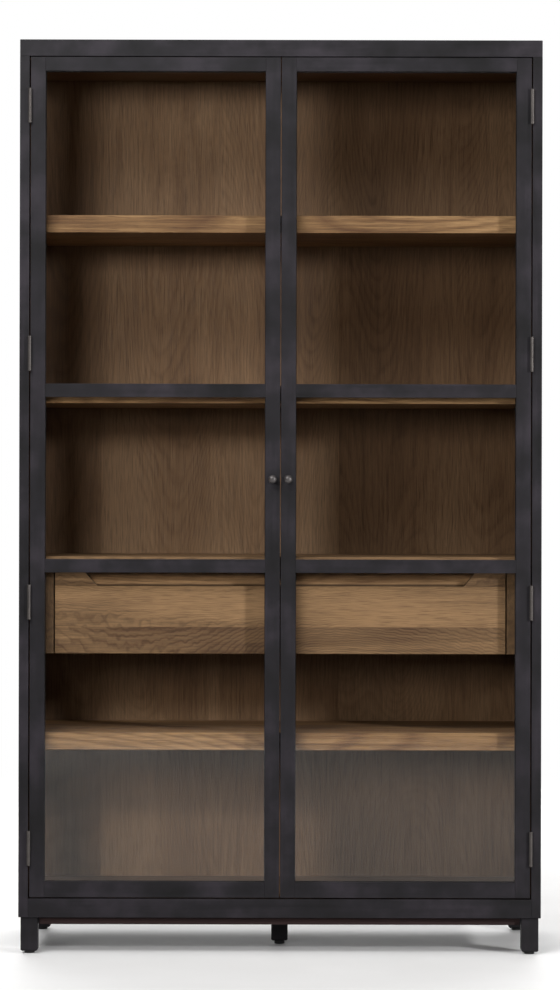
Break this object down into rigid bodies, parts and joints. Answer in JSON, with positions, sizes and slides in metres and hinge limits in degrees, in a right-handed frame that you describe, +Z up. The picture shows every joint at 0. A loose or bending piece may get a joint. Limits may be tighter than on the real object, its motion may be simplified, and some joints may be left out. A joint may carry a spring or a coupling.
{
  "type": "apothecary cabinet",
  "caption": "Tall black display cabinet on short legs, with inset glazed doors, an oak back, thick oak shelves and a wide inner drawer",
  "frame": {"origin": "on the floor, under the middle of the whole object's box with its doors and drawer closed", "axes": "+Z up, -Y out of the doors, +X to the right of a person facing the doors"},
  "size_m": [1.2, 0.481, 2.1],
  "materials": {
    "black_paint": "matte charcoal-black paint over close-grained wood, slightly mottled",
    "oak_back": "brown oak veneer, vertical cathedral grain, satin",
    "oak": "lighter drifted oak, horizontal grain, satin",
    "stained_board": "dark red-brown stained board, dull",
    "glass": "clear float glass, faint green edge",
    "hinge_metal": "satin grey-bronze metal",
    "knob_metal": "dark gunmetal, satin",
    "glide_plastic": "black moulded plastic"
  },
  "bodies": {
    "cabinet": {"side_panel_left": "black_paint", "side_panel_right": "black_paint", "top_panel": "black_paint", "bottom_panel": "black_paint", "back_panel": "oak_back", "base_board": "stained_board", "leg_front_left": "black_paint", "leg_front_right": "black_paint", "leg_rear_left": "black_paint", "leg_rear_right": "black_paint", "leg_centre": "black_paint", "glide_front_left": "glide_plastic", "glide_front_right": "glide_plastic", "glide_rear_left": "glide_plastic", "glide_rear_right": "glide_plastic", "glide_centre": "glide_plastic", "shelf_upper": "oak", "shelf_middle": "oak", "shelf_lower": "oak", "drawer_case_top": "oak", "drawer_case_side_left": "oak", "drawer_case_side_right": "oak", "case_hinge_left_1": "hinge_metal", "case_hinge_left_2": "hinge_metal", "case_hinge_left_3": "hinge_metal", "case_hinge_left_4": "hinge_metal", "case_hinge_right_1": "hinge_metal", "case_hinge_right_2": "hinge_metal", "case_hinge_right_3": "hinge_metal", "case_hinge_right_4": "hinge_metal"},
    "door_left": {"left_lock_stile": "black_paint", "left_hinge_stile": "black_paint", "left_rail_bottom": "black_paint", "left_rail_lower": "black_paint", "left_rail_upper": "black_paint", "left_rail_top": "black_paint", "left_glass": "glass", "left_knob": "knob_metal", "door_hinge_left_1": "hinge_metal", "door_hinge_left_2": "hinge_metal", "door_hinge_left_3": "hinge_metal", "door_hinge_left_4": "hinge_metal"},
    "door_right": {"right_lock_stile": "black_paint", "right_hinge_stile": "black_paint", "right_rail_bottom": "black_paint", "right_rail_lower": "black_paint", "right_rail_upper": "black_paint", "right_rail_top": "black_paint", "right_glass": "glass", "right_knob": "knob_metal", "door_hinge_right_1": "hinge_metal", "door_hinge_right_2": "hinge_metal", "door_hinge_right_3": "hinge_metal", "door_hinge_right_4": "hinge_metal"},
    "drawer": {"drawer_front": "oak", "drawer_box_front": "oak", "drawer_side_left": "oak", "drawer_side_right": "oak", "drawer_back": "oak", "drawer_bottom": "oak"}
  },
  "joints": [
    {"name": "door_left_hinge", "type": "hinge", "parent": "cabinet", "child": "door_left", "pos_m": [-0.5765, -0.221, 1.095], "axis": [0, 0, -1], "range_deg": [0, 165]},
    {"name": "door_right_hinge", "type": "hinge", "parent": "cabinet", "child": "door_right", "pos_m": [0.5765, -0.221, 1.095], "axis": [0, 0, 1], "range_deg": [0, 165]},
    {"name": "drawer_slide", "type": "slide", "parent": "cabinet", "child": "drawer", "axis": [0, -1, 0], "range_m": [0, 0.214]}
  ],
  "couplings": [
    {"joint": "door_right_hinge", "follows": "door_left_hinge", "ratio": 1},
    {"joint": "drawer_slide", "follows": "door_left_hinge", "m_per_rad": 0.0743}
  ]
}
